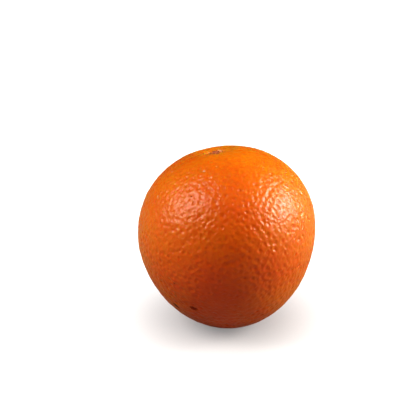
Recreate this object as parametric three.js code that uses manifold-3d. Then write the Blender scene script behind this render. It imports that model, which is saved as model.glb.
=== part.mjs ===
// A fresh sweet orange, as picked: the whole fruit with its pitted peel, and the dry calyx that
// stays in the hollow at its stem end.
//
// Millimetres, +Z up. The fruit rests on a small flat spot at z = 0 with its stem end up, leaning
// back and a little to the left, and the origin is straight below the middle of the fruit.

import * as THREE from "three";
import { ConvexHull } from "three/addons/math/ConvexHull.js";
import { mergeVertices } from "three/addons/utils/BufferGeometryUtils.js";
import Module from "manifold-3d";

const wasm = await Module();
wasm.setup();

// ---- Driving dimensions ----

const MEAN_RADIUS = 38.22;
const LENGTHENING = 0.81; // longer along the stem axis than across it
const TAPER = 1.36; // broad shoulders at the stem end, a narrower blossom end
const SLANT_SWELL = 0.52; // one shoulder stands higher than the other
const LOBE_HEIGHT = 0.12;
const LOBES = 5;
const UNEVENNESS = 0.16; // gentle swells and dips all over
const UNEVEN_LENGTHS = [7.3, 8.6, 6.4];

const LEAN_BACK = THREE.MathUtils.degToRad(12.8);
const LEAN_LEFT = THREE.MathUtils.degToRad(8.2);
const SLANT_TILT = THREE.MathUtils.degToRad(44); // of the higher shoulder, from the vertical
const SLANT_TURN = THREE.MathUtils.degToRad(28); // and round it, from the right towards the back
const BLOSSOM_SHIFT = [0.04, -0.04]; // the blossom end isn't quite opposite the stem

const PIT_SPACING = 3.25; // the least distance between two pits of the peel, as fine as its facets allow
const PIT_TRIES = 60000;
const PIT_DEPTH = 0.42;
const PIT_FLOOR = 0.7; // each pit's floor is a small triangle with corners this far from its middle
const RIM_REACH = 1.3; // a rim point stands at least this far from the middle of each pit
const RIM_UNEVENNESS = 0.08;

const HOLLOW_DEPTH = 3.2; // the hollow round the stem
const HOLLOW_RADIUS = 5.4;
const HOLLOW_REACH = 9.6; // pits start outside this distance from the stem axis
const FURROWS = 9; // short creases that run out of the hollow
const FURROW_DEPTH = 0.5;
const FURROW_MIDDLE = 6.9;
const FURROW_SPREAD = 2.6;
const SEAT_RADIUS = 4.0; // the flat floor of the hollow, where the calyx sits
const HOLLOW_RINGS = [1.4, 2.8, SEAT_RADIUS, 5.4, 6.8, 8.2]; // of points, out from the stem axis

const SCAR_RADIUS = 1.5; // the blossom-end scar
const SCAR_DEPTH = 0.5;
const SCAR_REACH = 4.4;
const SCAR_RINGS = [0.5, 1, 1.6, 2.2, 2.9];

const FOOT_RADIUS = 5.8; // the flat spot that the fruit rests on
const FOOT_REACH = 7.8;
const FOOT_RINGS = [FOOT_RADIUS / 2, FOOT_RADIUS, FOOT_RADIUS + 0.8];
const FOOT_TRIES = 20000; // random directions in which the lowest point is looked for

const CALYX_GAP = 0.3;
const SEPALS = 5;
const SEPAL_TIP = 3.5;
const SEPAL_NOTCH = 2.4;
const SEPAL_ROOT = 0.6; // thickness of a sepal beside the button, and at its tip
const SEPAL_EDGE = 0.32;
const BUTTON_RADIUS = 1.35; // the stub that the stalk came away from
const BUTTON_HEIGHT = 1.65;
const BUTTON_FLARE = 0.5; // how far its side spreads on the way down
const DIMPLE_RADIUS = 0.6; // the dimple in its top
const DIMPLE_DEPTH = 0.5;
const CALYX_RINGS = [0.1, 0.2, 0.29, 0.37, 0.46, 0.56, 0.76, 1]; // of points, as shares of its outline

const SEED = 20731;

// ---- Directions ----

const UP = new THREE.Vector3(0, 0, 1);
const stemAxis = new THREE.Vector3(-Math.tan(LEAN_LEFT), Math.tan(LEAN_BACK), 1).normalize();
const slantAxis = new THREE.Vector3(
  Math.sin(SLANT_TILT) * Math.cos(SLANT_TURN),
  Math.sin(SLANT_TILT) * Math.sin(SLANT_TURN),
  Math.cos(SLANT_TILT),
);
const blossomAxis = stemAxis
  .clone()
  .negate()
  .add(new THREE.Vector3(...BLOSSOM_SHIFT, 0))
  .normalize();
const stemTurn = new THREE.Quaternion().setFromUnitVectors(UP, stemAxis);
const sideAxis = new THREE.Vector3(1, 0, 0).applyQuaternion(stemTurn);
const frontAxis = new THREE.Vector3(0, 1, 0).applyQuaternion(stemTurn);

// A repeatable random number from 0 to 1.
function randomFrom(seed) {
  let state = seed;
  return () => {
    state = (state + 0x6d2b79f5) | 0;
    let t = Math.imul(state ^ (state >>> 15), 1 | state);
    t = (t + Math.imul(t ^ (t >>> 7), 61 | t)) ^ t;
    return ((t ^ (t >>> 14)) >>> 0) / 4294967296;
  };
}

function randomDirection(random) {
  const height = 2 * random() - 1;
  const turn = 2 * Math.PI * random();
  const ring = Math.sqrt(1 - height * height);
  return new THREE.Vector3(ring * Math.cos(turn), ring * Math.sin(turn), height);
}

// ---- The fruit's smooth form, as a distance from its centre in each direction ----

const legendre2 = (c) => (3 * c * c - 1) / 2;
const legendre3 = (c) => (5 * c * c * c - 3 * c) / 2;
const bell = (x, width) => Math.exp(-((x / width) ** 2));

function bodyRadius(direction) {
  const along = direction.dot(stemAxis);
  const turn = Math.atan2(direction.dot(frontAxis), direction.dot(sideAxis));
  const lobes = LOBE_HEIGHT * (1 - along * along) * Math.cos(LOBES * turn);
  const swells = direction
    .toArray()
    .reduce((product, part, i) => product * Math.sin((MEAN_RADIUS * part) / UNEVEN_LENGTHS[i] + i + 0.7), 1);
  return (
    MEAN_RADIUS +
    LENGTHENING * legendre2(along) -
    TAPER * legendre3(along) +
    SLANT_SWELL * legendre2(direction.dot(slantAxis)) +
    UNEVENNESS * swells +
    lobes
  );
}

const SEAT_HEIGHT = bodyRadius(stemAxis) - HOLLOW_DEPTH; // of the hollow's floor, along the stem axis

function smoothRadius(direction) {
  const along = direction.dot(stemAxis);
  const fromStem = MEAN_RADIUS * direction.angleTo(stemAxis);
  const fromBlossom = MEAN_RADIUS * direction.angleTo(blossomAxis);
  const turn = Math.atan2(direction.dot(frontAxis), direction.dot(sideAxis));
  const crease = Math.max(0, Math.cos(FURROWS * turn)) * (0.65 + 0.35 * Math.cos(2 * turn + 1));
  const furrow = FURROW_DEPTH * crease * bell(fromStem - FURROW_MIDDLE, FURROW_SPREAD);
  const hollow = HOLLOW_DEPTH * bell(fromStem, HOLLOW_RADIUS) + furrow;
  const scar = SCAR_DEPTH * (bell(fromBlossom, SCAR_RADIUS) - 0.7 * bell(fromBlossom, SCAR_RADIUS / 3));
  const radius = bodyRadius(direction) - hollow - scar;
  return fromStem < SEAT_RADIUS + 0.05 ? Math.min(radius, SEAT_HEIGHT / along) : radius;
}

// The fruit settles on the lowest point of its smooth form.
function lowestPoint() {
  const random = randomFrom(SEED);
  return Array.from({ length: FOOT_TRIES }, () => randomDirection(random))
    .map((direction) => direction.multiplyScalar(smoothRadius(direction)))
    .reduce((lowest, point) => (point.z < lowest.z ? point : lowest));
}

const footMiddle = lowestPoint();
const footAxis = footMiddle.clone().normalize();
const FOOT_LEVEL = footMiddle.z + FOOT_RADIUS ** 2 / (2 * MEAN_RADIUS);

// ---- The points of the peel ----

// Directions strewn over the sphere, no two closer than the spacing, where the peel is free for them.
function strewnDirections(spacing, tries, isFree, random) {
  const kept = [];
  const nearest = Math.cos(spacing / MEAN_RADIUS);
  for (let i = 0; i < tries; i++) {
    const direction = randomDirection(random);
    if (isFree(direction) && kept.every((other) => other.dot(direction) < nearest)) kept.push(direction);
  }
  return kept;
}

const ringPoint = (angle, turn) =>
  new THREE.Vector3(Math.sin(angle) * Math.cos(turn), Math.sin(angle) * Math.sin(turn), Math.cos(angle));

// Rings of points round an axis, at these distances from it.
function ringDirections(axis, distances, count) {
  const turnTo = new THREE.Quaternion().setFromUnitVectors(UP, axis);
  const points = [axis.clone()];
  distances.forEach((distance, ring) => {
    for (let i = 0; i < count; i++) {
      const turn = ((i + (ring % 2) / 2) / count) * 2 * Math.PI;
      points.push(ringPoint(distance / MEAN_RADIUS, turn).applyQuaternion(turnTo));
    }
  });
  return points;
}

// The triangles that join points on a sphere to their nearest neighbours.
function trianglesBetween(directions) {
  const indexOf = new Map(directions.map((direction, i) => [direction, i]));
  return new ConvexHull()
    .setFromPoints(directions)
    .faces.map(({ edge }) => [edge.prev, edge, edge.next].map((e) => indexOf.get(e.head().point)));
}

// The three corners of a pit's floor.
function floorCorners(middle, turn) {
  const turnTo = new THREE.Quaternion().setFromUnitVectors(UP, middle);
  const angle = PIT_FLOOR / MEAN_RADIUS;
  return [0, 1, 2].map((i) => ringPoint(angle, turn + (i * 2 * Math.PI) / 3).applyQuaternion(turnTo));
}

// Each pit is a small floor pressed in, ringed by the points midway between it and the pits round it.
function peelPoints() {
  const random = randomFrom(SEED);
  const smoothSpots = [
    [stemAxis, HOLLOW_REACH],
    [blossomAxis, SCAR_REACH],
    [footAxis, FOOT_REACH],
  ];
  const isFree = (direction) =>
    smoothSpots.every(([axis, reach]) => MEAN_RADIUS * direction.angleTo(axis) > reach);
  const pits = strewnDirections(PIT_SPACING, PIT_TRIES, isFree, random);
  const hollow = ringDirections(stemAxis, HOLLOW_RINGS, 4 * FURROWS);
  const scar = ringDirections(blossomAxis, SCAR_RINGS, 14);
  const foot = ringDirections(footAxis, FOOT_RINGS, 24);
  const plain = [...hollow, ...scar, ...foot];
  const middles = [...pits, ...plain];
  const rims = trianglesBetween(middles)
    .filter((corners) => corners.every((i) => i < pits.length))
    .map((corners) => {
      const rim = corners.reduce((sum, i) => sum.add(middles[i]), new THREE.Vector3()).normalize();
      return { rim, room: MEAN_RADIUS * Math.min(...corners.map((i) => rim.angleTo(middles[i]))) };
    })
    .filter(({ room }) => room > RIM_REACH)
    .map(({ rim }) => ({ direction: rim, relief: RIM_UNEVENNESS * (2 * random() - 1) }));
  const floors = pits.flatMap((middle) => {
    const relief = -PIT_DEPTH * (0.6 + 0.8 * random());
    return floorCorners(middle, 2 * Math.PI * random()).map((direction) => ({ direction, relief }));
  });
  return [...floors, ...rims, ...plain.map((direction) => ({ direction, relief: 0 }))];
}

// ---- Solids ----

function geometryFrom(vertices, triangles) {
  const geometry = new THREE.BufferGeometry();
  geometry.setAttribute("position", new THREE.Float32BufferAttribute(vertices, 3));
  geometry.setIndex(triangles);
  return geometry;
}

const solidFrom = (geometry) =>
  new wasm.Manifold(
    new wasm.Mesh({
      numProp: 3,
      vertProperties: new Float32Array(geometry.attributes.position.array),
      triVerts: new Uint32Array(geometry.index.array),
    }),
  );

function peelSolid() {
  const points = peelPoints();
  const vertices = points.flatMap(({ direction, relief }) => {
    const point = direction.clone().multiplyScalar(smoothRadius(direction));
    const fromFoot = point.distanceTo(footMiddle);
    const shown = THREE.MathUtils.smoothstep(fromFoot, FOOT_RADIUS, FOOT_RADIUS + 3);
    return point.addScaledVector(direction, relief * shown).toArray();
  });
  return solidFrom(geometryFrom(vertices, trianglesBetween(points.map((p) => p.direction)).flat()));
}

function fruitGeometry() {
  const side = 4 * MEAN_RADIUS;
  const ground = new THREE.BoxGeometry(side, side, side).translate(0, 0, FOOT_LEVEL - side / 2);
  ground.deleteAttribute("normal");
  ground.deleteAttribute("uv");
  const cut = peelSolid().subtract(solidFrom(mergeVertices(ground))).getMesh();
  return geometryFrom([...cut.vertProperties], [...cut.triVerts]);
}

// ---- The calyx: a star of dry sepals round the stub of the stalk ----

function calyxHeight(radius, turn) {
  const { smoothstep, mapLinear } = THREE.MathUtils;
  const button = 1 - smoothstep(radius, BUTTON_RADIUS - BUTTON_FLARE, BUTTON_RADIUS + BUTTON_FLARE);
  const dimple = 1 - smoothstep(radius, 0, 2 * DIMPLE_RADIUS);
  const sepal = mapLinear(Math.max(radius, BUTTON_RADIUS), BUTTON_RADIUS, SEPAL_TIP, SEPAL_ROOT, SEPAL_EDGE);
  const crimp = 0.08 * Math.cos(3 * SEPALS * turn) * smoothstep(radius, 0, BUTTON_RADIUS);
  const top = sepal + (BUTTON_HEIGHT - SEPAL_ROOT) * button + crimp;
  return top - DIMPLE_DEPTH * dimple;
}

function calyxGeometry() {
  const segments = 12 * SEPALS;
  const vertices = [0, 0, calyxHeight(0, 0)];
  CALYX_RINGS.forEach((share) => {
    for (let i = 0; i < segments; i++) {
      const turn = (i / segments) * 2 * Math.PI;
      const blunt = Math.sqrt(Math.abs(Math.cos((SEPALS * turn) / 2)));
      const edge = SEPAL_NOTCH + (SEPAL_TIP - SEPAL_NOTCH) * blunt;
      const radius = share * edge;
      vertices.push(radius * Math.cos(turn), radius * Math.sin(turn), calyxHeight(radius, turn));
    }
  });
  const rim = vertices.slice(-3 * segments);
  for (let i = 0; i < segments; i++) vertices.push(rim[3 * i], rim[3 * i + 1], 0);
  vertices.push(0, 0, 0);

  const triangles = [];
  const at = (ring, i) => 1 + ring * segments + (i % segments);
  const rings = CALYX_RINGS.length + 1;
  for (let i = 0; i < segments; i++) {
    triangles.push(0, at(0, i), at(0, i + 1));
    for (let ring = 1; ring < rings; ring++) {
      const [a, b, c, d] = [at(ring - 1, i), at(ring, i), at(ring, i + 1), at(ring - 1, i + 1)];
      triangles.push(a, b, c, a, c, d);
    }
    triangles.push(at(rings - 1, i), 1 + rings * segments, at(rings - 1, i + 1));
  }
  return geometryFrom(vertices, triangles);
}

// ---- The part ----

function meshOf(name, geometry, settings) {
  const mesh = new THREE.Mesh(geometry, new THREE.MeshStandardMaterial(settings));
  mesh.name = name;
  return mesh;
}

const fruit = meshOf("fruit", fruitGeometry(), { color: 0xf0700a, roughness: 0.42, metalness: 0 });
const calyx = meshOf("calyx", calyxGeometry(), { color: 0x6b6a3a, roughness: 0.85, metalness: 0 });
calyx.geometry.applyMatrix4(
  new THREE.Matrix4().compose(
    stemAxis.clone().multiplyScalar(SEAT_HEIGHT + CALYX_GAP),
    stemTurn,
    new THREE.Vector3(1, 1, 1),
  ),
);

const box = new THREE.Box3().setFromObject(fruit);
const middle = box.getCenter(new THREE.Vector3());
const group = new THREE.Group();
group.name = "orange";
for (const mesh of [fruit, calyx]) {
  mesh.geometry.translate(-middle.x, -middle.y, -FOOT_LEVEL);
  group.add(mesh);
}

export default group;
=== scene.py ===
"""Dresses a packed orange: the pitted, waxed peel, and the dry calyx in the hollow at its stem end."""

import math

import bpy
import numpy as np
from bpy.props import (
    FloatProperty,
    FloatVectorProperty,
    IntProperty,
    PointerProperty,
)
from mathutils import Matrix, Vector


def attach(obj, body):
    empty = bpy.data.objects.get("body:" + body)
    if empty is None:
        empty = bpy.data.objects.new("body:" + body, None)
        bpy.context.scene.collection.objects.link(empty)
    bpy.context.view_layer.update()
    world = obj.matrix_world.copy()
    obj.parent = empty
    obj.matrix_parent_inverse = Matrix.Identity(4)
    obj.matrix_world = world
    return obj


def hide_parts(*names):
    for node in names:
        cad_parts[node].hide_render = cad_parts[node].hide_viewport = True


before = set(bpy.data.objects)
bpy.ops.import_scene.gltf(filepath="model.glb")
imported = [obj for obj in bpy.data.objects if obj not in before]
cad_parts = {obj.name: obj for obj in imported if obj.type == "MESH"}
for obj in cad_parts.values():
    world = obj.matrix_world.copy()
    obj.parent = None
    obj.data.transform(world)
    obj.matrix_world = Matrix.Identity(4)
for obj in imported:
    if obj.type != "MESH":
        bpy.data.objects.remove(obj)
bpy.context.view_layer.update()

bl_info = {
    "name": "Orange",
    "version": (1, 0, 0),
    "blender": (4, 5, 0),
    "location": "3D View > Sidebar > Orange",
    "description": "Makes a fresh orange with a pitted peel and a dry calyx, and a plain studio for it",
    "category": "Object",
}

MM = 0.001

# ---- The fruit's form, in millimetres from its own centre, as the CAD model has it ----

FORM_CENTRE = np.array([0.109, -0.435, 39.824])  # in the row frame
MEAN_RADIUS = 38.22
LENGTHENING = 0.81
TAPER = 1.36
SLANT_SWELL = 0.52
LOBE_HEIGHT = 0.12
LOBES = 5
UNEVENNESS = 0.16
UNEVEN_LENGTHS = (7.3, 8.6, 6.4)
LEAN_BACK = math.radians(12.8)
LEAN_LEFT = math.radians(8.2)
SLANT_TILT = math.radians(44)
SLANT_TURN = math.radians(28)
BLOSSOM_SHIFT = (0.04, -0.04)
HOLLOW_DEPTH = 3.2
HOLLOW_RADIUS = 5.4
FURROWS = 9
FURROW_DEPTH = 0.5
FURROW_MIDDLE = 6.9
FURROW_SPREAD = 2.6
CREASE_MEAN = 0.65  # share of its depth that a furrow has on average, and how that varies round the stem
CREASE_SWING = 0.35
SEAT_RADIUS = 4.0
SEAT_BLEND = 5.4
SCAR_RADIUS = 1.5
SCAR_DEPTH = 0.5
SCAR_RISE = 0.7  # share of the scar's depth by which its middle stands up again
FOOT_RADIUS = 5.8
CALYX_GAP = 0.3
SEPALS = 5
SEPAL_TIP = 3.5
SEPAL_ROOT = 0.6
SEPAL_EDGE = 0.32
BUTTON_RADIUS = 1.35
BUTTON_HEIGHT = 1.65
BUTTON_FLARE = 0.5
DIMPLE_RADIUS = 0.6
DIMPLE_DEPTH = 0.5


def unit(vector):
    vector = np.asarray(vector, float)
    return vector / np.linalg.norm(vector)


STEM_AXIS = unit([-math.tan(LEAN_LEFT), math.tan(LEAN_BACK), 1])
BLOSSOM_AXIS = unit(np.array([*BLOSSOM_SHIFT, 0]) - STEM_AXIS)
SLANT_AXIS = unit(
    [
        math.sin(SLANT_TILT) * math.cos(SLANT_TURN),
        math.sin(SLANT_TILT) * math.sin(SLANT_TURN),
        math.cos(SLANT_TILT),
    ]
)
STEM_TURN = np.array(Vector((0, 0, 1)).rotation_difference(Vector(STEM_AXIS)).to_matrix())
SIDE_AXIS, FRONT_AXIS = STEM_TURN[:, 0], STEM_TURN[:, 1]


def legendre2(c):
    return (3 * c * c - 1) / 2


def legendre3(c):
    return (5 * c**3 - 3 * c) / 2


def bell(x, width):
    return np.exp(-((x / width) ** 2))


def smoothstep(x, low, high):
    t = np.clip((x - low) / (high - low), 0, 1)
    return t * t * (3 - 2 * t)


def distance_from(directions, axis):
    """How far each direction is from an axis, in millimetres along the fruit's mean sphere."""
    return MEAN_RADIUS * np.arccos(np.clip(directions @ axis, -1, 1))


def body_radius(directions):
    along = directions @ STEM_AXIS
    turn = np.arctan2(directions @ FRONT_AXIS, directions @ SIDE_AXIS)
    phases = MEAN_RADIUS * directions / np.array(UNEVEN_LENGTHS) + np.arange(3) + 0.7
    return (
        MEAN_RADIUS
        + LENGTHENING * legendre2(along)
        - TAPER * legendre3(along)
        + SLANT_SWELL * legendre2(directions @ SLANT_AXIS)
        + UNEVENNESS * np.sin(phases).prod(axis=1)
        + LOBE_HEIGHT * (1 - along**2) * np.cos(LOBES * turn)
    )


SEAT_HEIGHT = body_radius(STEM_AXIS[None])[0] - HOLLOW_DEPTH


def smooth_radius(directions):
    along = directions @ STEM_AXIS
    turn = np.arctan2(directions @ FRONT_AXIS, directions @ SIDE_AXIS)
    from_stem = distance_from(directions, STEM_AXIS)
    from_blossom = distance_from(directions, BLOSSOM_AXIS)
    crease = np.maximum(0, np.cos(FURROWS * turn))
    crease = crease * (CREASE_MEAN + CREASE_SWING * np.cos(2 * turn + 1))
    hollow = HOLLOW_DEPTH * bell(from_stem, HOLLOW_RADIUS)
    hollow += FURROW_DEPTH * crease * bell(from_stem - FURROW_MIDDLE, FURROW_SPREAD)
    navel = SCAR_RISE * bell(from_blossom, SCAR_RADIUS / 3)
    scar = SCAR_DEPTH * (bell(from_blossom, SCAR_RADIUS) - navel)
    radius = body_radius(directions) - hollow - scar
    seat = np.minimum(radius, SEAT_HEIGHT / np.maximum(along, 0.5))
    share = smoothstep(from_stem, SEAT_RADIUS, SEAT_BLEND)
    return np.where(from_stem < SEAT_BLEND, seat * (1 - share) + radius * share, radius)


# ---- Help with meshes, nodes and colours ----


def linear(hex_colour):
    """An sRGB hex colour as linear RGBA."""
    parts = [int(hex_colour[i : i + 2], 16) / 255 for i in (0, 2, 4)]
    return (*[p / 12.92 if p <= 0.04045 else ((p + 0.055) / 1.055) ** 2.4 for p in parts], 1.0)


def add_node(tree, kind, settings=None, inputs=None):
    """A new node. An input is a value, or (node, output name or number) to link it."""
    node = tree.nodes.new(kind)
    for name, value in (settings or {}).items():
        setattr(node, name, value)
    for key, value in (inputs or {}).items():
        if isinstance(value, tuple) and value and isinstance(value[0], bpy.types.Node):
            tree.links.new(value[0].outputs[value[1]], node.inputs[key])
        else:
            node.inputs[key].default_value = value
    return node


def set_ramp(node, stops):
    """Colour ramp stops as (position, RGBA)."""
    elements = node.color_ramp.elements
    while len(elements) < len(stops):
        elements.new(1.0)
    for element, (position, colour) in zip(elements, stops):
        element.position = position
        element.color = colour


def new_material(name):
    material = bpy.data.materials.new(name)
    material.use_nodes = True
    tree = material.node_tree
    tree.nodes.clear()
    return material, tree


def mesh_object(name, vertices_mm, faces, smooth=True):
    mesh = bpy.data.meshes.new(name)
    mesh.from_pydata((np.asarray(vertices_mm) * MM).tolist(), [], [list(map(int, f)) for f in faces])
    mesh.validate()
    if smooth:
        mesh.shade_smooth()
    piece = bpy.data.objects.new(name, mesh)
    bpy.context.scene.collection.objects.link(piece)
    return piece


def store(mesh, name, values):
    attribute = mesh.attributes.new(name, "FLOAT", "POINT")
    attribute.data.foreach_set("value", np.asarray(values, np.float32))


def geometry_tree(name, sockets):
    """A Geometry Nodes tree with these named inputs, and its group input node."""
    tree = bpy.data.node_groups.new(name, "GeometryNodeTree")
    tree.interface.new_socket("Geometry", in_out="INPUT", socket_type="NodeSocketGeometry")
    tree.interface.new_socket("Geometry", in_out="OUTPUT", socket_type="NodeSocketGeometry")
    for label, kind in sockets:
        tree.interface.new_socket(label, in_out="INPUT", socket_type=kind)
    return tree, tree.nodes.new("NodeGroupInput")


def apply_tree(piece, tree, values):
    """Runs a tree on a piece with these inputs and keeps the result as a plain mesh."""
    modifier = piece.modifiers.new(tree.name, "NODES")
    modifier.node_group = tree
    sockets = {s.name: s.identifier for s in tree.interface.items_tree if s.in_out == "INPUT"}
    for label, value in values.items():
        modifier[sockets[label]] = value
    bpy.context.view_layer.update()
    evaluated = piece.evaluated_get(bpy.context.evaluated_depsgraph_get())
    result = bpy.data.meshes.new_from_object(evaluated)
    piece.modifiers.clear()
    before = piece.data
    piece.data = result
    bpy.data.meshes.remove(before)
    result.name = piece.name
    return piece


# ---- The peel ----


def geodesic_sphere(frequency):
    """Directions and triangles of an icosahedron whose faces are each split into frequency squared."""
    golden = (1 + 5**0.5) / 2
    corners = np.array(
        [
            (-1, golden, 0), (1, golden, 0), (-1, -golden, 0), (1, -golden, 0),
            (0, -1, golden), (0, 1, golden), (0, -1, -golden), (0, 1, -golden),
            (golden, 0, -1), (golden, 0, 1), (-golden, 0, -1), (-golden, 0, 1),
        ]
    )
    sides = [
        (0, 11, 5), (0, 5, 1), (0, 1, 7), (0, 7, 10), (0, 10, 11),
        (1, 5, 9), (5, 11, 4), (11, 10, 2), (10, 7, 6), (7, 1, 8),
        (3, 9, 4), (3, 4, 2), (3, 2, 6), (3, 6, 8), (3, 8, 9),
        (4, 9, 5), (2, 4, 11), (6, 2, 10), (8, 6, 7), (9, 8, 1),
    ]
    row, column = np.tril_indices(frequency + 1)
    weights = np.stack([frequency - row, row - column, column], 1) / frequency
    number = {(r, c): i for i, (r, c) in enumerate(zip(row, column))}
    pattern = []
    for r in range(frequency):
        for c in range(r + 1):
            pattern.append((number[r, c], number[r + 1, c], number[r + 1, c + 1]))
            if c < r:
                pattern.append((number[r, c], number[r + 1, c + 1], number[r, c + 1]))
    pattern = np.array(pattern)
    points = np.concatenate([weights @ corners[list(side)] for side in sides])
    triangles = np.concatenate([pattern + i * len(weights) for i in range(len(sides))])
    points /= np.linalg.norm(points, axis=1, keepdims=True)
    _, first, merged = np.unique(points.round(7), axis=0, return_index=True, return_inverse=True)
    return points[first], merged.reshape(-1)[triangles]


SCAR_EDGE = (1.5, 3.5)  # mm from the blossom's middle, over which the pits begin
FOOT_EDGE = (-0.6, 2.0)  # mm past the foot's edge, over which the pits begin
WAIST = (50, 85)  # mm from the stem, over which the pits become shallower
WAIST_LOSS = 0.1  # share of their depth that the pits lose there


def smooth_peel(frequency):
    """The fruit's form with no pits yet, level where it rests, and how much each place takes pits."""
    directions, triangles = geodesic_sphere(frequency)
    points = directions * smooth_radius(directions)[:, None] + FORM_CENTRE
    points[:, 2] = np.maximum(points[:, 2], 0)
    piece = mesh_object("peel", points, triangles)
    from_stem = distance_from(directions, STEM_AXIS)
    from_blossom = distance_from(directions, BLOSSOM_AXIS)
    foot = np.linalg.norm(points - points[points[:, 2] < 1e-6].mean(axis=0), axis=1)
    share = smoothstep(from_stem, SEAT_RADIUS, SEAT_BLEND + 2) * smoothstep(from_blossom, *SCAR_EDGE)
    share *= smoothstep(foot, *(FOOT_RADIUS + edge for edge in FOOT_EDGE))
    store(piece.data, "pit_share", share * (1 - WAIST_LOSS * smoothstep(from_stem, *WAIST)))
    store(piece.data, "from_stem", from_stem)
    return piece


# Floats that the peel's tree takes, each from the property of that name.
PEEL_SIZES = (
    "Pit spacing", "Pit depth", "Pit width", "Gland spacing", "Gland depth", "Gland width",
    "Ripple length", "Ripple height", "Swell length", "Swell height", "Waviness",
)
CROWDING = 3.0  # how many times more pits are tried than would fit, before those too close are dropped
DEPTH_RANGE = (0.3, 1.0)  # each pit's own share of the full depth
WIDTH_RANGE = (0.7, 1.35)  # and of the usual width
WANDER_SCALE = 330.0  # per metre, so the pits' outlines wander over 3 mm


def pit_layer(tree, share, place, group, names, seed):
    """How deep one layer of pits goes at each point, in metres, and how near a pit's middle it is."""
    spacing, depth, width = names
    area = add_node(tree, "ShaderNodeMath", {"operation": "POWER"}, {0: (group, spacing), 1: 2.0})
    many = add_node(tree, "ShaderNodeMath", {"operation": "DIVIDE"}, {0: CROWDING, 1: (area, 0)})
    pits = add_node(
        tree,
        "GeometryNodeDistributePointsOnFaces",
        {"distribute_method": "POISSON"},
        {
            "Mesh": (group, "Geometry"),
            "Distance Min": (group, spacing),
            "Density Max": (many, 0),
            "Seed": seed,
        },
    )
    near = add_node(
        tree,
        "GeometryNodeProximity",
        {"target_element": "POINTS"},
        {"Geometry": (pits, "Points"), "Source Position": (place, 0)},
    )
    which = add_node(
        tree, "GeometryNodeSampleNearest", {}, {"Geometry": (pits, "Points"), "Sample Position": (place, 0)}
    )
    # Each pit has its own depth and its own width.
    own = []
    for (least, most), offset in ((DEPTH_RANGE, 7), (WIDTH_RANGE, 8)):
        chance = add_node(tree, "FunctionNodeRandomValue", {}, {2: least, 3: most, "Seed": seed + offset})
        own.append(
            add_node(
                tree,
                "GeometryNodeSampleIndex",
                {},
                {"Geometry": (pits, "Points"), "Value": (chance, 1), "Index": (which, "Index")},
            )
        )
    wide = add_node(tree, "ShaderNodeMath", {"operation": "MULTIPLY"}, {0: (own[1], 0), 1: (group, width)})
    ratio = add_node(tree, "ShaderNodeMath", {"operation": "DIVIDE"}, {0: (near, "Distance"), 1: (wide, 0)})
    square = add_node(tree, "ShaderNodeMath", {"operation": "POWER"}, {0: (ratio, 0), 1: 2.0})
    minus = add_node(tree, "ShaderNodeMath", {"operation": "MULTIPLY"}, {0: (square, 0), 1: -1.0})
    shape = add_node(tree, "ShaderNodeMath", {"operation": "EXPONENT"}, {0: (minus, 0)})
    sized = add_node(tree, "ShaderNodeMath", {"operation": "MULTIPLY"}, {0: (shape, 0), 1: (own[0], 0)})
    faded = add_node(tree, "ShaderNodeMath", {"operation": "MULTIPLY"}, {0: (sized, 0), 1: (share, 0)})
    deep = add_node(tree, "ShaderNodeMath", {"operation": "MULTIPLY"}, {0: (faded, 0), 1: (group, depth)})
    return deep, faded


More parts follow.
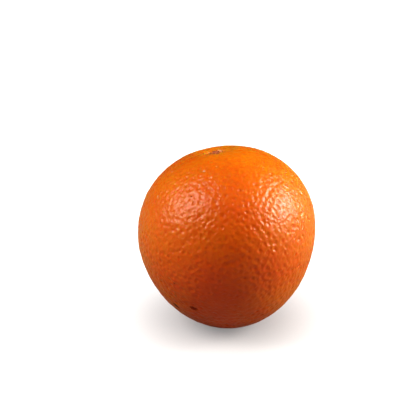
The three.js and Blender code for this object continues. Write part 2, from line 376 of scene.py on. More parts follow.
def pit_tree():
    """Presses two layers of oil-gland pits, fine ripples and a slow unevenness into the peel."""
    sockets = [(name, "NodeSocketFloat") for name in PEEL_SIZES]
    tree, group = geometry_tree("PeelPits", [*sockets, ("Peel", "NodeSocketMaterial")])
    share = add_node(tree, "GeometryNodeInputNamedAttribute", {"data_type": "FLOAT"}, {"Name": "pit_share"})
    # The pits' outlines wander a little, so that no two are alike.
    position = tree.nodes.new("GeometryNodeInputPosition")
    wander = add_node(tree, "ShaderNodeTexNoise", {}, {"Scale": WANDER_SCALE, "Detail": 1.0})
    aside = add_node(
        tree, "ShaderNodeVectorMath", {"operation": "SUBTRACT"}, {0: (wander, 1), 1: (0.5, 0.5, 0.5)}
    )
    scaled = add_node(
        tree,
        "ShaderNodeVectorMath",
        {"operation": "SCALE"},
        {"Vector": (aside, 0), "Scale": (group, "Waviness")},
    )
    place = add_node(tree, "ShaderNodeVectorMath", {"operation": "ADD"}, {0: (position, 0), 1: (scaled, 0)})
    (big, big_shape), (small, small_shape) = [
        pit_layer(tree, share, place, group, PEEL_SIZES[first : first + 3], seed)
        for first, seed in ((0, 11), (3, 23))
    ]
    height = None
    for name in ("Ripple", "Swell"):
        scale = add_node(
            tree, "ShaderNodeMath", {"operation": "DIVIDE"}, {0: 1.0, 1: (group, name + " length")}
        )
        noise = add_node(tree, "ShaderNodeTexNoise", {}, {"Scale": (scale, 0), "Detail": 1.0})
        centred = add_node(tree, "ShaderNodeMath", {"operation": "SUBTRACT"}, {0: (noise, 0), 1: 0.5})
        height = add_node(
            tree,
            "ShaderNodeMath",
            {"operation": "MULTIPLY_ADD"},
            {0: (centred, 0), 1: (group, name + " height"), 2: (height, 0) if height else 0.0},
        )
    eased = add_node(tree, "ShaderNodeMath", {"operation": "MULTIPLY"}, {0: (height, 0), 1: (share, 0)})
    pressed = add_node(tree, "ShaderNodeMath", {"operation": "ADD"}, {0: (big, 0), 1: (small, 0)})
    total = add_node(tree, "ShaderNodeMath", {"operation": "SUBTRACT"}, {0: (eased, 0), 1: (pressed, 0)})
    normal = tree.nodes.new("GeometryNodeInputNormal")
    offset = add_node(
        tree, "ShaderNodeVectorMath", {"operation": "SCALE"}, {"Vector": (normal, 0), "Scale": (total, 0)}
    )
    moved = add_node(
        tree, "GeometryNodeSetPosition", {}, {"Geometry": (group, "Geometry"), "Offset": (offset, "Vector")}
    )
    both = add_node(
        tree, "ShaderNodeMath", {"operation": "MAXIMUM"}, {0: (big_shape, 0), 1: (small_shape, 0)}
    )
    stored = add_node(
        tree,
        "GeometryNodeStoreNamedAttribute",
        {"data_type": "FLOAT", "domain": "POINT"},
        {"Geometry": (moved, 0), "Name": "pit", "Value": (both, 0)},
    )
    real = add_node(tree, "GeometryNodeRealizeInstances", {}, {"Geometry": (stored, 0)})
    painted = add_node(
        tree, "GeometryNodeSetMaterial", {}, {"Geometry": (real, 0), "Material": (group, "Peel")}
    )
    output = tree.nodes.new("NodeGroupOutput")
    tree.links.new(painted.outputs[0], output.inputs[0])
    return tree


# Scars and specks from the tree and the crate, and a few pale spots that are painted glints and sheen: the
# direction of each from the fruit's centre, its length and width and its height in mm, its turn in degrees,
# its strength, and its colour.
BLEMISHES = (
    ((-0.371, -0.761, -0.533), 4.3, 2.9, -0.12, -20, 0.85, "802A02"),  # healed scratch
    ((-0.565, -0.572, -0.595), 4.8, 2.3, -0.06, -60, 0.85, "6E300C"),  # rub, reddish brown
    ((-0.573, -0.719, -0.395), 1.2, 3.6, 0.0, 0, 0.35, "8A7020"),  # olive streak
    ((-0.590, -0.778, -0.216), 1.0, 1.1, 0.0, 0, 0.5, "5A2A08"),  # freckle
    ((-0.285, -0.312, 0.907), 3.6, 1.5, 0.0, 0, 0.3, "A88A30"),  # olive ring of the scale mark
    ((-0.258, -0.315, 0.914), 1.7, 1.2, 0.06, 0, 0.6, "E8CDBE"),  # scale mark, pale grey
    ((-0.610, -0.049, 0.791), 1.7, 1.7, 0.0, 0, 0.25, "D8A8B0"),  # faint pale pink patch: painted sheen
    ((-0.176, -0.431, 0.885), 1.3, 1.3, 0.08, 0, 0.45, "F4C8AC"),  # raised gland, its pale colour a painted glint
    ((-0.758, -0.279, 0.590), 1.5, 1.5, 0.08, 0, 0.45, "F4C8AC"),  # raised gland, its pale colour a painted glint
    (BLOSSOM_AXIS, 4.4, 4.0, 0.0, 0, 0.35, "B88A40"),  # pale ring round the blossom scar
    (BLOSSOM_AXIS, 2.6, 2.3, -0.12, 20, 0.9, "7A5028"),  # dry scar that the flower left
)
BLEMISH_REACH = 2  # mm in and out from the peel
# Shares of its half length over which a blemish fades, and of a cell over which a freckle does.
BLEMISH_EDGE = {"From Min": 0.35, "From Max": 1.15, "To Min": 1.0, "To Max": 0.0}
FRECKLE_EDGE = {"From Min": 0.03, "From Max": 0.07, "To Min": 1.0, "To Max": 0.0}
FRECKLE_STRENGTH = {"From Min": 0.3, "From Max": 0.9, "To Min": 0.0, "To Max": 0.7}  # by each one's chance
FRECKLE_CELL = 7  # mm
# Noise that makes outlines ragged: how fine it is per metre, its detail, and how far it pushes in metres.
BLEMISH_RAGGEDNESS = (1100.0, 2.0, 0.0014)
GLAND_RAGGEDNESS = (450.0, 1.0, 0.0012)
# How pale the peel is, from 0 where it is deepest to 1: by mm from the stem, deeper low down as painted
# shade; then, as painted light from the side lamps, what is added per metre to the right and per square metre
# from the middle and mm from the stem.
PALE_FROM_STEM_AND_PAINTED_SHADE = {"From Min": 8.0, "From Max": 78.0, "To Min": 0.18, "To Max": -0.42}
PAINTED_LIGHT_TO_RIGHT = 2.5
PAINTED_LIGHT_AT_SIDES = 5.0
DRIFT_SCALE = 38.0  # per metre, so that the ripeness drifts over 2 to 3 cm
# How strong the painted shade in each pit is by how deep in the pit it lies, and the tinge by mm from the
# stem.
PIT_SHADE_DOT = {"From Min": 0.45, "From Max": 1.0, "To Min": 0.0, "To Max": 0.3}
STEM_TINGE = {"From Min": 4.0, "From Max": 13.0, "To Min": 0.75, "To Max": 0.0}
FINE_GLAND = 1.6  # mm from one fine gland to the next
FINE_DIMPLE = {"From Min": 0.0, "From Max": 0.62, "To Min": 0.0, "To Max": 1.0}  # by share of that
GRAIN_SCALE = 1100.0  # per metre, which is 0.9 mm
PEEL_RELIEF = (0.05, 0.03)  # mm, how high the fine glands and the grain stand in the peel
WAX_RELIEF = (0.19, 0.05)  # mm, and in the wax, which gathers between the glands and breaks up the gloss
PEEL_ROUGHNESS = {"From Min": 0.3, "From Max": 0.7, "To Min": 0.4, "To Max": 0.5}  # by the slow drift
WAX_ON_SCARS = {"From Min": -0.05, "From Max": 0.0, "To Min": 0.1, "To Max": 1.0}  # by a scar's height


def ragged_place(tree, place, per_metre, detail, reach):
    """Object coordinates pushed about by noise, which makes outlines ragged."""
    stray = add_node(
        tree,
        "ShaderNodeTexNoise",
        {},
        {"Vector": (place, "Object"), "Scale": per_metre, "Detail": detail},
    )
    shift = add_node(
        tree, "ShaderNodeVectorMath", {"operation": "SUBTRACT"}, {0: (stray, 1), 1: (0.5, 0.5, 0.5)}
    )
    return add_node(
        tree,
        "ShaderNodeVectorMath",
        {"operation": "MULTIPLY_ADD"},
        {0: (shift, 0), 1: (reach, reach, reach), 2: (place, "Object")},
    )


def within_blemishes(tree, place):
    """For each blemish, how far each place is within it, from 1 in its middle to 0 outside it."""
    ragged = ragged_place(tree, place, *BLEMISH_RAGGEDNESS)
    masks = []
    for direction, length, width, _, turn, _, _ in BLEMISHES:
        normal = unit(direction)
        across = unit(np.cross((0, 0, 1), normal))
        axes = Matrix((across, np.cross(normal, across), normal)).transposed()
        axes = axes @ Matrix.Rotation(math.radians(turn), 3, "Z")
        centre = (FORM_CENTRE + normal * body_radius(normal[None])[0]) * MM
        laid = add_node(
            tree,
            "ShaderNodeMapping",
            {"vector_type": "TEXTURE"},
            {
                "Vector": (ragged, 0),
                "Location": tuple(centre),
                "Rotation": tuple(axes.to_euler()),
                "Scale": (length / 2 * MM, width / 2 * MM, BLEMISH_REACH * MM),
            },
        )
        reach = add_node(tree, "ShaderNodeVectorMath", {"operation": "LENGTH"}, {0: (laid, 0)})
        masks.append(
            add_node(
                tree,
                "ShaderNodeMapRange",
                {"interpolation_type": "SMOOTHSTEP"},
                {"Value": (reach, "Value"), **BLEMISH_EDGE},
            )
        )
    return masks


def freckles(tree, place):
    """A few small freckles, about one to 5 square centimetres."""
    cells = add_node(
        tree,
        "ShaderNodeTexVoronoi",
        {"feature": "F1"},
        {"Vector": (place, "Object"), "Scale": 1000 / FRECKLE_CELL},
    )
    dot = add_node(tree, "ShaderNodeMapRange", {}, {"Value": (cells, "Distance"), **FRECKLE_EDGE})
    chance = add_node(tree, "ShaderNodeSeparateColor", {}, {"Color": (cells, "Color")})
    some = add_node(tree, "ShaderNodeMapRange", {}, {"Value": (chance, "Red"), **FRECKLE_STRENGTH})
    return add_node(tree, "ShaderNodeMath", {"operation": "MULTIPLY"}, {0: (dot, 0), 1: (some, 0)})


def paleness_and_painted_light(tree, place, stem, drift):
    """How pale the peel is. Deeper away from the stem and down the middle, it paints shade; paler at the
    sides and to the right, it paints the light of the side lamps.
    """
    stem_fall_and_painted_shade = add_node(tree, "ShaderNodeMapRange", {}, {"Value": (stem, "Fac"), **PALE_FROM_STEM_AND_PAINTED_SHADE})
    # Painted light: paler to the right and at the sides, where the side lamps fall.
    axes = add_node(tree, "ShaderNodeSeparateXYZ", {}, {0: (place, "Object")})
    painted_light_right_side = add_node(
        tree,
        "ShaderNodeMath",
        {"operation": "MULTIPLY_ADD"},
        {0: (axes, "X"), 1: PAINTED_LIGHT_TO_RIGHT, 2: (stem_fall_and_painted_shade, 0)},
    )
    aside = add_node(
        tree, "ShaderNodeMath", {"operation": "MULTIPLY"}, {0: (axes, "X"), 1: (axes, "X")}
    )
    low = add_node(
        tree, "ShaderNodeMath", {"operation": "MULTIPLY"}, {0: (stem, "Fac"), 1: PAINTED_LIGHT_AT_SIDES}
    )
    side = add_node(
        tree, "ShaderNodeMath", {"operation": "MULTIPLY_ADD"}, {0: (aside, 0), 1: (low, 0), 2: (painted_light_right_side, 0)}
    )
    return add_node(tree, "ShaderNodeMath", {"operation": "ADD"}, {0: (side, 0), 1: (drift, 0)})


def fine_relief(tree, place, lift):
    """Normals of the peel and of its wax: scars, fine glands between those that are modelled, and grain."""
    glands = add_node(
        tree,
        "ShaderNodeTexVoronoi",
        {"feature": "SMOOTH_F1"},
        {
            "Vector": (ragged_place(tree, place, *GLAND_RAGGEDNESS), 0),
            "Scale": 1000 / FINE_GLAND,
            "Smoothness": 0.25,
        },
    )
    dimples = add_node(
        tree,
        "ShaderNodeMapRange",
        {"interpolation_type": "SMOOTHSTEP"},
        {"Value": (glands, "Distance"), **FINE_DIMPLE},
    )
    grain = add_node(
        tree, "ShaderNodeTexNoise", {}, {"Vector": (place, "Object"), "Scale": GRAIN_SCALE, "Detail": 2.0}
    )
    scarred = add_node(tree, "ShaderNodeBump", {}, {"Strength": 1.0, "Distance": MM, "Height": (lift, 0)})
    normals = []
    for heights in (PEEL_RELIEF, WAX_RELIEF):
        normal = scarred
        for pattern, height in zip((dimples, grain), heights):
            normal = add_node(
                tree,
                "ShaderNodeBump",
                {},
                {"Strength": 1.0, "Distance": height * MM, "Height": (pattern, 0), "Normal": (normal, 0)},
            )
        normals.append(normal)
    return normals


def waxed_peel(props):
    """Orange flavedo under a thin coat of wax: strong colour from below, and a soft, broken gloss."""
    material, tree = new_material("waxed_orange_peel")
    place = tree.nodes.new("ShaderNodeTexCoord")
    pit = add_node(tree, "ShaderNodeAttribute", {"attribute_name": "pit"})
    stem = add_node(tree, "ShaderNodeAttribute", {"attribute_name": "from_stem"})
    drift = add_node(
        tree, "ShaderNodeTexNoise", {}, {"Vector": (place, "Object"), "Scale": DRIFT_SCALE, "Detail": 3.0}
    )
    # The peel's tone, which also holds the painted light and shade of the paleness.
    ripe = add_node(tree, "ShaderNodeValToRGB", {}, {"Fac": (paleness_and_painted_light(tree, place, stem, drift), 0)})
    set_ramp(ripe, [(0.1, tuple(props.deep)), (0.9, tuple(props.flesh))])
    # Over it go a deeper dot in each pit, which is painted shade, a yellower tinge round the stem, where the
    # peel ripens last, the freckles, and the scars and specks, a few of them pale painted glints and sheen,
    # each of which also stands up or lies sunk.
    dot = add_node(tree, "ShaderNodeMapRange", {}, {"Value": (pit, "Fac"), **PIT_SHADE_DOT})
    tinge = add_node(
        tree,
        "ShaderNodeMapRange",
        {"interpolation_type": "SMOOTHSTEP"},
        {"Value": (stem, "Fac"), **STEM_TINGE},
    )
    layers = [(dot, props.gland), (tinge, props.stem_end), (freckles(tree, place), props.freckle)]
    lift = None
    for mask, (_, _, _, height, _, strength, shade) in zip(within_blemishes(tree, place), BLEMISHES):
        share = add_node(
            tree, "ShaderNodeMath", {"operation": "MULTIPLY"}, {0: (mask, 0), 1: strength * props.blemish}
        )
        layers.append((share, linear(shade)))
        lift = add_node(
            tree,
            "ShaderNodeMath",
            {"operation": "MULTIPLY_ADD"},
            {0: (mask, 0), 1: height * props.blemish, 2: (lift, 0) if lift else 0.0},
        )
    colour = (ripe, 0)
    for share, shade in layers:
        over = add_node(
            tree, "ShaderNodeMix", {"data_type": "RGBA"}, {0: (share, 0), 6: colour, 7: tuple(shade)}
        )
        colour = (over, 2)
    body, coat = fine_relief(tree, place, lift)
    rough = add_node(tree, "ShaderNodeMapRange", {}, {"Value": (drift, 0), **PEEL_ROUGHNESS})
    # Scar tissue is sunk and takes no wax.
    wax = add_node(tree, "ShaderNodeMapRange", {}, {"Value": (lift, 0), **WAX_ON_SCARS})
    shader = add_node(
        tree,
        "ShaderNodeBsdfPrincipled",
        {"subsurface_method": "RANDOM_WALK"},
        {
            "Base Color": colour,
            "Roughness": (rough, 0),
            "IOR": 1.45,
            "Specular IOR Level": 0.15,
            "Subsurface Weight": 0.6,
            "Subsurface Radius": (1.0, 0.3, 0.08),
            "Subsurface Scale": 0.0015,
            "Coat Weight": (wax, 0),
            "Coat Roughness": 0.4,
            "Coat IOR": 1.55,
            "Normal": (body, 0),
            "Coat Normal": (coat, 0),
        },
    )
    output = tree.nodes.new("ShaderNodeOutputMaterial")
    tree.links.new(shader.outputs[0], output.inputs[0])
    return material


class OrangePeelProperties(bpy.types.PropertyGroup):
    pit_spacing: FloatProperty(
        name="Pit spacing", description="Least distance between two large pits",
        default=0.0022, min=0.001, max=0.01, unit="LENGTH", precision=5,
    )
    pit_depth: FloatProperty(
        name="Pit depth", description="Depth of the deepest large pits",
        default=0.0004, min=0, max=0.001, unit="LENGTH", precision=5,
    )
    pit_width: FloatProperty(
        name="Pit width", description="Distance from a large pit's middle over which it rises",
        default=0.00088, min=0.0001, max=0.003, unit="LENGTH", precision=5,
    )
    gland_spacing: FloatProperty(
        name="Gland spacing", description="Least distance between two oil glands",
        default=0.0016, min=0.0005, max=0.005, unit="LENGTH", precision=5,
    )
    gland_depth: FloatProperty(
        name="Gland depth", description="Depth of the dimple over a gland",
        default=0.0001, min=0, max=0.001, unit="LENGTH", precision=5,
    )
    gland_width: FloatProperty(
        name="Gland width", description="Distance from a gland's middle over which its dimple rises",
        default=0.0005, min=0.0001, max=0.003, unit="LENGTH", precision=5,
    )
    ripple_length: FloatProperty(
        name="Ripple length", description="Length of the ripples among the pits",
        default=0.0024, min=0.0005, max=0.01, unit="LENGTH", precision=5,
    )
    ripple_height: FloatProperty(
        name="Ripple height", description="Height of the ripples among the pits",
        default=0.0002, min=0, max=0.002, unit="LENGTH", precision=5,
    )
    swell_length: FloatProperty(
        name="Swell length", description="Length of the slow unevenness of the peel",
        default=0.006, min=0.002, max=0.05, unit="LENGTH", precision=5,
    )
    swell_height: FloatProperty(
        name="Swell height", description="Height of the slow unevenness of the peel",
        default=0.0002, min=0, max=0.002, unit="LENGTH", precision=5,
    )
    waviness: FloatProperty(
        name="Waviness", description="How far a pit's outline wanders",
        default=0.001, min=0, max=0.01, unit="LENGTH", precision=5,
    )
    fineness: IntProperty(
        name="Fineness", description="Parts that each edge of the starting icosahedron is split into",
        default=98, min=8, max=99,
    )
    # The peel colour also paints the light on the sides, and the deeper colour paints the shade low down the
    # middle.
    flesh: FloatVectorProperty(
        name="Peel colour", description="Colour of the ripe peel",
        default=linear("E98D08"), size=4, min=0, max=1, subtype="COLOR",
    )
    deep: FloatVectorProperty(
        name="Deeper colour", description="Colour where the peel is riper",
        default=linear("DD6205"), size=4, min=0, max=1, subtype="COLOR",
    )
    # Painted shade at the bottom of each pit.
    gland: FloatVectorProperty(
        name="Gland colour", description="Colour at the bottom of a pit",
        default=linear("C84A03"), size=4, min=0, max=1, subtype="COLOR",
    )
    stem_end: FloatVectorProperty(
        name="Stem end colour", description="Tinge of the peel round the stem",
        default=linear("D98A16"), size=4, min=0, max=1, subtype="COLOR",
    )
    freckle: FloatVectorProperty(
        name="Freckle colour", description="Colour of the small freckles",
        default=linear("7A3208"), size=4, min=0, max=1, subtype="COLOR",
    )
    blemish: FloatProperty(
        name="Blemishes", description="How strongly scars and specks show", default=1, min=0, max=1,
    )


class ORANGE_OT_peel(bpy.types.Operator):
    """Make the pitted peel"""

    bl_idname = "orange.peel"
    bl_label = "Make peel"

    def execute(self, context):
        props = context.scene.orange_peel
        values = {name: getattr(props, name.lower().replace(" ", "_")) for name in PEEL_SIZES}
        values["Peel"] = waxed_peel(props)
        piece = apply_tree(smooth_peel(props.fineness), pit_tree(), values)
        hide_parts("fruit")
        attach(piece, "root")
        return {"FINISHED"}


# ---- The calyx: five dry sepals round the button that the stalk came away from ----

CALYX_BASE = FORM_CENTRE + (SEAT_HEIGHT + CALYX_GAP) * STEM_AXIS
# The button and the sepals, in millimetres where a comment doesn't say otherwise.
BUTTON_GRID = (144, 33)  # columns round it and rows out from its middle
BUTTON_SEED = 41
LUMP_WAVES = range(2, 9)  # waves of the button's lumps round it
LUMP_HEIGHT = 0.1
LUMP_BULGE = 0.05  # share of the radius
CRACKS = 11
CRACK_SHARES = (0.4, 1)  # each crack's own share of the full depth
CRACK_WIDTHS = (0.07, 0.13)  # radians round the button
SEPAL_SEED = 3
SEPAL_START = 1.1  # from the stem axis, under the button
SEPAL_WIDTH = 1.8  # half the width, at most
SEPAL_APART = 0.97  # share of the room up to its neighbours that a sepal fills
TIP_ROUNDING = 0.35
RIDGE_HEIGHT = 0.14
RIDGE_WIDTH = 0.16  # share of the half width
EDGE_CURL = 0.3
TIP_CURL = 0.22
CRINKLE = 0.05
SEPAL_THICKNESS = (0.05, 0.26)  # at the edges, and what is added in the middle
SEPAL_FLOOR = 0.02  # least height of a sepal's underside


def on_the_stem_axis(points):
    """Points made about +Z with the calyx's underside at z = 0, put where the calyx sits."""
    return np.asarray(points) @ STEM_TURN.T + CALYX_BASE


def grid_faces(rows, columns, closed_round):
    """Quads of a grid of points, rows outermost, that may close round its columns."""
    last = columns if closed_round else columns - 1
    faces = []
    for r in range(rows - 1):
        for c in range(last):
            d = (c + 1) % columns
            faces.append((r * columns + c, (r + 1) * columns + c, (r + 1) * columns + d, r * columns + d))
    return faces


def button_shape(columns, rows, crack_depth):
    """The button: a lumpy, cracked stub that flares at its foot, with a dimple in its top."""
    random = np.random.default_rng(BUTTON_SEED)
    turn = np.linspace(0, 2 * np.pi, columns, endpoint=False)
    lumps = sum(
        random.uniform(0.2, 1) / k * np.cos(k * turn + random.uniform(0, 2 * np.pi)) for k in LUMP_WAVES
    )
    cracks = np.zeros(columns)
    for middle in random.uniform(0, 2 * np.pi, CRACKS):
        apart = np.abs((turn - middle + np.pi) % (2 * np.pi) - np.pi)
        crack = random.uniform(*CRACK_SHARES) * bell(apart, random.uniform(*CRACK_WIDTHS))
        cracks = np.maximum(cracks, crack)
    reach = BUTTON_RADIUS + BUTTON_FLARE
    points = []
    for radius in reach * np.linspace(0.02, 1, rows) ** 0.8:
        side = 1 - smoothstep(radius, BUTTON_RADIUS - BUTTON_FLARE, reach)
        dimple = DIMPLE_DEPTH * (1 - smoothstep(radius, 0, 2 * DIMPLE_RADIUS))
        uneven = smoothstep(radius, 0, BUTTON_RADIUS) * (LUMP_HEIGHT * lumps - crack_depth * cracks)
        height = SEPAL_ROOT / 2 + (BUTTON_HEIGHT - SEPAL_ROOT / 2) * side - dimple
        height = height + uneven * (0.3 + 0.7 * side)  # less of the lumps and cracks at the flared foot
        lumped = radius * (1 + LUMP_BULGE * lumps)
        points.append(np.stack([lumped * np.cos(turn), lumped * np.sin(turn), height], 1))
    points.append(points[-1] * (0.9, 0.9, 0) + (0, 0, 0.05))
    return np.concatenate(points)


def sepal_shape(columns, rows):
    """One sepal along +X: blunt, ridged down its middle, its edges dried up and back."""
    across, along = np.meshgrid(np.linspace(-1, 1, columns), np.linspace(0, 1, rows))
    radius = SEPAL_START + (SEPAL_TIP - SEPAL_START) * along
    room = np.tan(np.pi / SEPALS) * radius * SEPAL_APART
    blunt = SEPAL_WIDTH * np.sqrt(np.clip(1.02 - along**2.6, 0, 1))
    half = np.minimum(room, blunt)
    x = radius - TIP_ROUNDING * across**2 * along
    y = half * across
    top = SEPAL_ROOT + (SEPAL_EDGE - SEPAL_ROOT) * smoothstep(radius, BUTTON_RADIUS, SEPAL_TIP)
    top = top + RIDGE_HEIGHT * bell(across, RIDGE_WIDTH) * (1 - along)
    top = top + EDGE_CURL * across**4 * along + TIP_CURL * along**5
    top = top + CRINKLE * np.sin(9 * across + 4 * along) * along
    thick = SEPAL_THICKNESS[1] * (1 - across**6) * (1 - along**8) + SEPAL_THICKNESS[0]
    upper = np.stack([x, y, top], 2).reshape(-1, 3)
    lower = np.stack([x, y, np.maximum(top - thick, SEPAL_FLOOR)], 2).reshape(-1, 3)
    return upper, lower


def sepal_mesh(columns=25, rows=21):
    upper, lower = sepal_shape(columns, rows)
    faces = [face[::-1] for face in grid_faces(rows, columns, False)]
    count = len(upper)
    under = [tuple(i + count for i in face[::-1]) for face in faces]
    border = [*range(columns), *[r * columns + columns - 1 for r in range(1, rows)]]
    border += [*[(rows - 1) * columns + c for c in range(columns - 2, -1, -1)]]
    border += [*[r * columns for r in range(rows - 2, 0, -1)]]
    walls = [(a, b, b + count, a + count) for a, b in zip(border, border[1:] + border[:1])]
    return np.concatenate([upper, lower]), faces + under + walls


def sepal_ring_tree():
    """Sets copies of a sepal round the stem axis, each a little larger, smaller or turned."""
    tree, group = geometry_tree(
        "SepalRing",
        [
            ("Sepals", "NodeSocketInt"),
            ("Unevenness", "NodeSocketFloat"),
            ("Seed", "NodeSocketInt"),
            ("Sepal", "NodeSocketMaterial"),
        ],
    )
    line = add_node(tree, "GeometryNodeMeshLine", {}, {"Count": (group, "Sepals"), "Offset": (0, 0, 0)})
    index = tree.nodes.new("GeometryNodeInputIndex")
    step = add_node(tree, "ShaderNodeMath", {"operation": "DIVIDE"}, {0: 2 * math.pi, 1: (group, "Sepals")})
    turn = add_node(tree, "ShaderNodeMath", {"operation": "MULTIPLY"}, {0: (index, 0), 1: (step, 0)})
    less = add_node(tree, "ShaderNodeMath", {"operation": "MULTIPLY"}, {0: (group, "Unevenness"), 1: -1.0})
    stray = add_node(
        tree, "FunctionNodeRandomValue", {}, {2: (less, 0), 3: (group, "Unevenness"), "Seed": (group, "Seed")}
    )
    strayed = add_node(tree, "ShaderNodeMath", {"operation": "ADD"}, {0: (turn, 0), 1: (stray, 1)})
    rotation = add_node(tree, "ShaderNodeCombineXYZ", {}, {"Z": (strayed, 0)})
    size = add_node(tree, "ShaderNodeMath", {"operation": "ADD"}, {0: (stray, 1), 1: 0.97})
    copies = add_node(
        tree,
        "GeometryNodeInstanceOnPoints",
        {},
        {
            "Points": (line, 0),
            "Instance": (group, "Geometry"),
            "Rotation": (rotation, 0),
            "Scale": (size, 0),
        },
    )
    real = add_node(tree, "GeometryNodeRealizeInstances", {}, {"Geometry": (copies, 0)})
    painted = add_node(
        tree, "GeometryNodeSetMaterial", {}, {"Geometry": (real, 0), "Material": (group, "Sepal")}
    )
    output = tree.nodes.new("NodeGroupOutput")
    tree.links.new(painted.outputs[0], output.inputs[0])
    return tree


CRACK_SHADE = {"From Min": 0.4, "From Max": 0.53, "To Min": 0.75, "To Max": 0.0}  # painted shade in cracks and hollows, by pointiness


def dried_stalk(name, pale, dark, streak_mm):
    """Dry plant fibre: dull, streaked and cracked, with painted shade that makes it darkest in its cracks and
    hollows.
    """
    material, tree = new_material(name)
    place = tree.nodes.new("ShaderNodeTexCoord")
    streaks = add_node(
        tree,
        "ShaderNodeTexNoise",
        {},
        {"Vector": (place, "Object"), "Scale": 1000 / streak_mm, "Detail": 5.0, "Roughness": 0.65},
    )
    tone = add_node(tree, "ShaderNodeValToRGB", {}, {"Fac": (streaks, 0)})
    set_ramp(tone, [(0.34, dark), (0.62, pale)])
    shape = tree.nodes.new("ShaderNodeNewGeometry")
    # Painted shade: the colour darkens where the surface is hollow.
    crack = add_node(tree, "ShaderNodeMapRange", {}, {"Value": (shape, "Pointiness"), **CRACK_SHADE})
    colour = add_node(tree, "ShaderNodeMix", {"data_type": "RGBA"}, {0: (crack, 0), 6: (tone, 0), 7: dark})
    bump = add_node(tree, "ShaderNodeBump", {}, {"Strength": 0.6, "Distance": 0.0002, "Height": (streaks, 0)})
    shader = add_node(
        tree,
        "ShaderNodeBsdfPrincipled",
        {},
        {"Base Color": (colour, 2), "Roughness": 0.75, "IOR": 1.45, "Normal": (bump, 0)},
    )
    output = tree.nodes.new("ShaderNodeOutputMaterial")
    tree.links.new(shader.outputs[0], output.inputs[0])
    return material


class OrangeCalyxProperties(bpy.types.PropertyGroup):
    sepals: IntProperty(name="Sepals", description="Number of sepals", default=SEPALS, min=3, max=8)
    unevenness: FloatProperty(
        name="Unevenness", description="How far a sepal's size and turn stray", default=0.06, min=0, max=0.2,
    )
    crack_depth: FloatProperty(
        name="Crack depth", description="Depth of the cracks across the button's rim",
        default=0.0002, min=0, max=0.001, unit="LENGTH", precision=5,
    )
    sepal: FloatVectorProperty(
        name="Sepal colour", description="Dry sepals, where they are palest",
        default=linear("CE8A3A"), size=4, min=0, max=1, subtype="COLOR",
    )
    button: FloatVectorProperty(
        name="Button colour", description="The button's rim, where it is palest",
        default=linear("C87A54"), size=4, min=0, max=1, subtype="COLOR",
    )
    # The dark colour also paints the shade in cracks and hollows.
    dark: FloatVectorProperty(
        name="Dark colour", description="Cracks and dried edges",
        default=linear("A05C38"), size=4, min=0, max=1, subtype="COLOR",
    )


class ORANGE_OT_calyx(bpy.types.Operator):
    """Make the button and the ring of sepals"""

    bl_idname = "orange.calyx"
    bl_label = "Make calyx"

    def execute(self, context):
        props = context.scene.orange_calyx
        columns, rows = BUTTON_GRID
        points = button_shape(columns, rows, props.crack_depth / MM)
        faces = [face[::-1] for face in grid_faces(rows + 1, columns, True)]
        faces.append(tuple(range(columns)))
        faces.append(tuple(reversed(range(rows * columns, (rows + 1) * columns))))
        button = mesh_object("calyx_button", on_the_stem_axis(points), faces)
        button.data.materials.append(
            dried_stalk("dry_stalk_scar", tuple(props.button), tuple(props.dark), streak_mm=0.5)
        )
        sepals = apply_tree(
            mesh_object("calyx_sepals", *sepal_mesh()),
            sepal_ring_tree(),
            {
                "Sepals": props.sepals,
                "Unevenness": props.unevenness,
                "Seed": SEPAL_SEED,
                "Sepal": dried_stalk("dry_sepal", tuple(props.sepal), tuple(props.dark), streak_mm=0.9),
            },
        )
        sepals.data.transform(Matrix.Translation(CALYX_BASE * MM) @ Matrix(STEM_TURN.tolist()).to_4x4())
        for piece in (button, sepals):
            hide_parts("calyx")
            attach(piece, "root")
        return {"FINISHED"}


# ---- The studio ----

LENS = 150  # mm
SENSOR = 36  # mm wide
CAMERA_RISE = math.radians(25)
CAMERA_DISTANCE = 713  # mm, to the middle of the fruit
OFF_CENTRE = (11.49, -14.57)  # mm, the fruit's middle right of and below the camera's aim
GLOW_START = -6  # mm from the middle of the floor, below 0 so that the paper glows a little there too
GLOW_FULL = 60  # mm, where it is burnt out in full
FIBRE_SCALE = 900.0  # per metre, which is 1.1 mm
FLOOR_REACH = 4000  # mm each way
# Each light's name, its direction from the fruit, its distance and size in metres, its power in watts,
# whether it shows in the gloss, and its colour.
LIGHTS = (
    ("right_softbox", (0.895, 0.06, 0.43), 1.0, (0.4, 0.46), 8.1, True, (0.98, 1, 1)),
    ("left_softbox", (-0.71, -0.16, 0.685), 1.0, (0.44, 0.6), 5.4, True, (1, 1, 1)),
    ("top_fill", (0.2, 0.5, 0.85), 1.2, (0.8, 0.8), 1.6, False, (1, 1, 1)),
    ("front_fill", (0.1, -0.4, 0.9), 1.2, (0.8, 0.8), 2.2, False, (1, 0.7, 0.42)),
    ("low_fill", (0.3, -0.95, 0.08), 1.0, (0.6, 0.3), 1.0, False, (1, 0.5, 0.4)),
    ("left_fill", (-0.85, 0.25, 0.25), 1.0, (0.6, 0.6), 2.0, False, (1, 1, 1)),
    ("right_fill", (0.85, 0.4, 0.1), 1.0, (0.6, 0.4), 1.8, False, (1, 0.95, 0.55)),
)


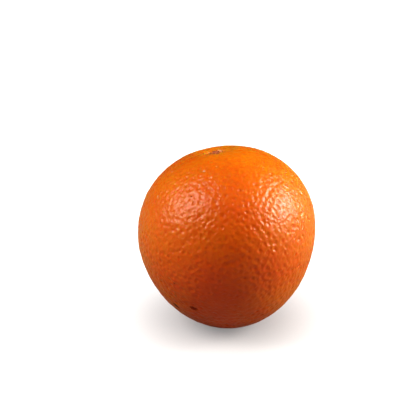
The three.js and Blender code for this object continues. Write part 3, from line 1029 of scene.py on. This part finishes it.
def burnt_out_paper(props):
    """White seamless paper: matt. Painted light: an emission that only the camera sees burns it out a little
    way off from the fruit.
    """
    material, tree = new_material("seamless_paper")
    place = tree.nodes.new("ShaderNodeTexCoord")
    fibre = add_node(
        tree, "ShaderNodeTexNoise", {}, {"Vector": (place, "Object"), "Scale": FIBRE_SCALE, "Detail": 2.0}
    )
    tone = add_node(tree, "ShaderNodeValToRGB", {}, {"Fac": (fibre, 0)})
    set_ramp(tone, [(0.3, (*(0.97 * c for c in props.floor[:3]), 1)), (0.7, tuple(props.floor))])
    away = add_node(tree, "ShaderNodeVectorMath", {"operation": "LENGTH"}, {0: (place, "Object")})
    glow = add_node(
        tree,
        "ShaderNodeMapRange",
        {},
        {
            "Value": (away, "Value"),
            "From Min": GLOW_START * MM,
            "From Max": GLOW_FULL * MM,
            "To Min": 0.0,
            "To Max": props.glow,
        },
    )
    # Painted light: only camera rays see the glow, so it lights nothing else.
    path = tree.nodes.new("ShaderNodeLightPath")
    seen = add_node(
        tree, "ShaderNodeMath", {"operation": "MULTIPLY"}, {0: (glow, 0), 1: (path, "Is Camera Ray")}
    )
    shader = add_node(
        tree,
        "ShaderNodeBsdfPrincipled",
        {},
        {
            "Base Color": (tone, 0),
            "Roughness": 0.9,
            "Specular IOR Level": 0.2,
            "Emission Color": (1, 1, 1, 1),
            "Emission Strength": (seen, 0),
        },
    )
    output = tree.nodes.new("ShaderNodeOutputMaterial")
    tree.links.new(shader.outputs[0], output.inputs[0])
    return material


class OrangeStageProperties(bpy.types.PropertyGroup):
    floor: FloatVectorProperty(
        name="Floor colour", description="Colour of the plain floor",
        default=linear("918D8B"), size=4, min=0, max=1, subtype="COLOR",
    )
    glow: FloatProperty(
        name="Glow", description="How far the paper is burnt out, away from the fruit",
        default=0.8, min=0, max=5,
    )
    surround: FloatProperty(
        name="Surround", description="Brightness of the white studio all round",
        default=0.03, min=0, max=5,
    )


def area_light(name, direction, distance, size, power, gloss, colour):
    """An area light that looks at the middle of the fruit. A fill gives no gloss."""
    light = bpy.data.lights.new(name, "AREA")
    light.shape = "RECTANGLE"
    light.size, light.size_y = size
    light.energy = power
    light.color = colour
    lamp = bpy.data.objects.new(name, light)
    bpy.context.scene.collection.objects.link(lamp)
    lamp.visible_glossy = gloss
    centre = Vector(FORM_CENTRE * MM)
    lamp.location = centre + Vector(direction).normalized() * distance
    lamp.rotation_euler = (lamp.location - centre).to_track_quat("Z", "Y").to_euler()


class ORANGE_OT_stage(bpy.types.Operator):
    """Make the floor, the lights and the camera"""

    bl_idname = "orange.stage"
    bl_label = "Make stage"

    def execute(self, context):
        props = context.scene.orange_stage
        corners = np.array([(-1, -1, 0), (1, -1, 0), (1, 1, 0), (-1, 1, 0)]) * FLOOR_REACH
        floor = mesh_object("floor", corners, [(0, 1, 2, 3)])
        floor.data.materials.append(burnt_out_paper(props))

        for light in LIGHTS:
            area_light(*light)
        world = bpy.data.worlds.new("studio")
        world.use_nodes = True
        background = world.node_tree.nodes["Background"]
        background.inputs["Color"].default_value = (1, 1, 1, 1)
        background.inputs["Strength"].default_value = props.surround
        context.scene.world = world
        context.scene.view_settings.view_transform = "Standard"
        context.scene.view_settings.look = "High Contrast"

        data = bpy.data.cameras.new("camera")
        data.lens = LENS
        data.sensor_width = SENSOR
        data.clip_start = 0.01
        camera = bpy.data.objects.new("camera", data)
        context.scene.collection.objects.link(camera)
        rise, sink = math.sin(CAMERA_RISE), math.cos(CAMERA_RISE)
        right, up, towards = Vector((1, 0, 0)), Vector((0, rise, sink)), Vector((0, -sink, rise))
        place = Vector(FORM_CENTRE) - OFF_CENTRE[0] * right - OFF_CENTRE[1] * up + CAMERA_DISTANCE * towards
        turn = Matrix((right, up, towards)).transposed().to_4x4()
        camera.matrix_world = Matrix.Translation(place * MM) @ turn
        context.scene.camera = camera
        return {"FINISHED"}


# ---- The panel, and the whole run ----


class ORANGE_PT_panel(bpy.types.Panel):
    """Makes an orange, piece by piece"""

    bl_label = "Orange"
    bl_idname = "ORANGE_PT_panel"
    bl_space_type = "VIEW_3D"
    bl_region_type = "UI"
    bl_category = "Orange"

    def draw(self, context):
        for group in PROPERTY_GROUPS:
            box = self.layout.box()
            box.operator(group.replace("_", "."))
            props = getattr(context.scene, group)
            for name in props.__annotations__:
                box.prop(props, name)


PROPERTY_GROUPS = {
    "orange_peel": OrangePeelProperties,
    "orange_calyx": OrangeCalyxProperties,
    "orange_stage": OrangeStageProperties,
}
CLASSES = (*PROPERTY_GROUPS.values(), ORANGE_OT_peel, ORANGE_OT_calyx, ORANGE_OT_stage, ORANGE_PT_panel)


def register():
    for cls in CLASSES:
        bpy.utils.register_class(cls)
    for name, group in PROPERTY_GROUPS.items():
        setattr(bpy.types.Scene, name, PointerProperty(type=group))


def unregister():
    for name in PROPERTY_GROUPS:
        delattr(bpy.types.Scene, name)
    for cls in reversed(CLASSES):
        bpy.utils.unregister_class(cls)


def main():
    register()
    bpy.ops.orange.peel()
    bpy.ops.orange.calyx()
    bpy.ops.orange.stage()


if __name__ == "__main__":
    main()
